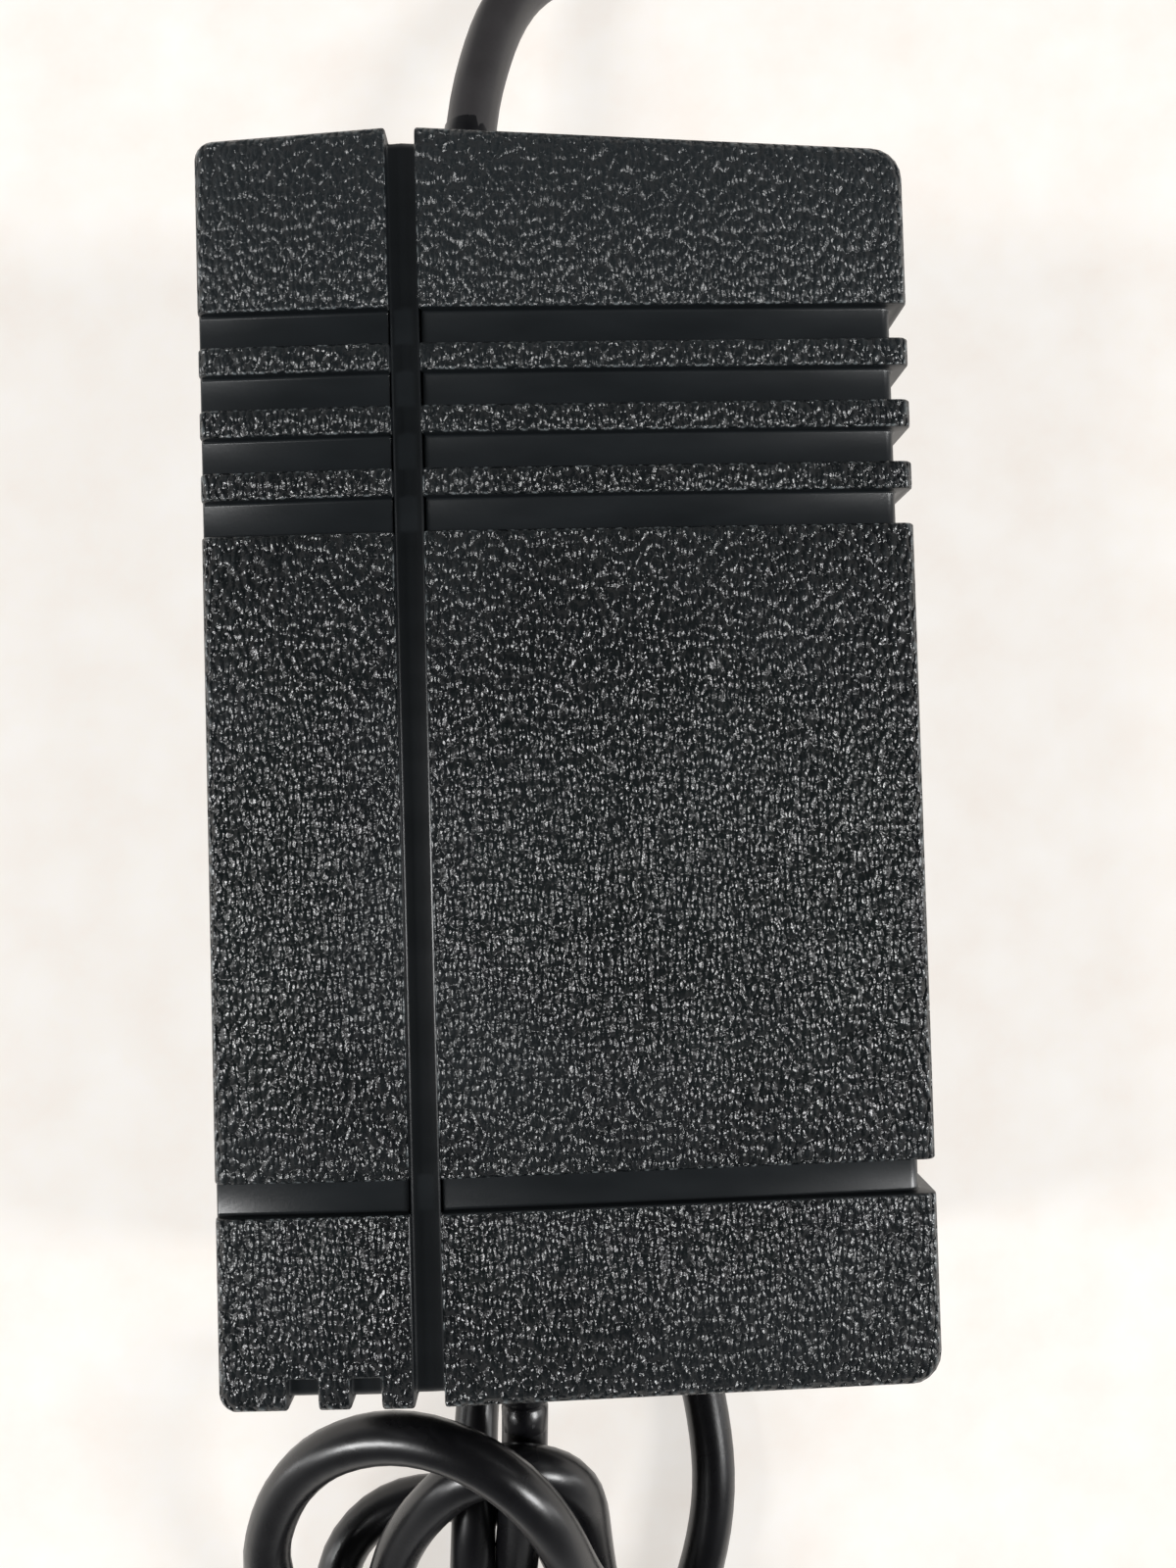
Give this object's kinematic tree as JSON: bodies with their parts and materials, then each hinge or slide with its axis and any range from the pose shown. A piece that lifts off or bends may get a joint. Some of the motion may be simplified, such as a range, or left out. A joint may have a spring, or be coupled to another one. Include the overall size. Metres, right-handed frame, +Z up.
{
  "type": "external power supply",
  "caption": "Black grained-plastic desktop power supply with raised panels, moulded grooves, a captive mains lead with plug and a captive low-voltage lead.",
  "frame": {"origin": "centre of the casing's footprint, on the surface that it stands on", "axes": "+X across the casing, +Y along it towards the mains cord, +Z up"},
  "size_m": [0.0946, 0.4516, 0.05],
  "materials": {
    "casing": "black ABS, moulded leather grain outside, smooth satin grooves",
    "foot": "soft black rubber",
    "steel": "zinc plated steel",
    "nickel": "bright nickel plate",
    "aluminium": "plain rolled aluminium",
    "label": "blank silver-grey polyester label",
    "board": "tan phenolic paper laminate",
    "sheet": "pressed fibre insulation",
    "ferrite": "dark grey sintered ferrite",
    "tape": "yellow polyester winding tape",
    "copper": "enamelled copper wire",
    "sleeve": "dark blue shrink sleeve",
    "epoxy": "black moulded epoxy",
    "film": "yellow-brown box",
    "disc": "dark green dipped coating",
    "glass": "clear glass tube with end caps",
    "cord": "black satin flexible vinyl",
    "tie": "black releasable strap",
    "wire_brown": "brown vinyl insulation",
    "wire_blue": "blue vinyl insulation",
    "wire_red": "red vinyl insulation",
    "wire_black": "black vinyl insulation"
  },
  "bodies": {
    "root": {"top_cover": "casing", "bottom_case": "casing", "rating_label": "label", "case_screw_1": "steel", "case_screw_2": "steel", "case_screw_3": "steel", "case_screw_4": "steel", "rubber_foot_1": "foot", "rubber_foot_2": "foot", "rubber_foot_3": "foot", "rubber_foot_4": "foot", "mains_strain_relief": "cord", "output_strain_relief": "cord", "circuit_board": "board", "insulation_sheet": "sheet", "board_screw_1": "steel", "board_screw_2": "steel", "mains_fuse": "glass", "fuse_clip_1": "nickel", "fuse_clip_2": "nickel", "thermistor": "disc", "line_choke": "copper", "line_capacitor": "film", "bridge_rectifier": "epoxy", "bulk_capacitor": "sleeve", "primary_heatsink": "aluminium", "switching_transistor": "epoxy", "transistor_screw": "steel", "transformer_bobbin": "tape", "ferrite_core_1": "ferrite", "ferrite_core_2": "ferrite", "control_chip": "epoxy", "optocoupler": "epoxy", "output_heatsink": "aluminium", "output_rectifier": "epoxy", "rectifier_screw": "steel", "output_choke": "copper", "output_capacitor_1": "sleeve", "output_capacitor_2": "sleeve", "output_capacitor_3": "sleeve", "live_wire": "wire_brown", "neutral_wire": "wire_blue", "positive_wire": "wire_red", "ground_wire": "wire_black", "mains_cord_lead": "cord", "mains_cord_coil": "cord", "mains_cord_tail": "cord", "mains_cord_tie": "tie", "mains_plug_body": "cord", "mains_plug_blade_1": "nickel", "mains_plug_blade_2": "nickel", "mains_plug_earth_pin": "nickel", "output_cord_lead": "cord", "output_cord_hank": "cord", "output_cord_tail": "cord", "output_cord_tie": "tie", "output_plug_body": "cord", "output_plug_barrel": "nickel", "output_plug_insulator": "epoxy"}
  },
  "joints": []
}
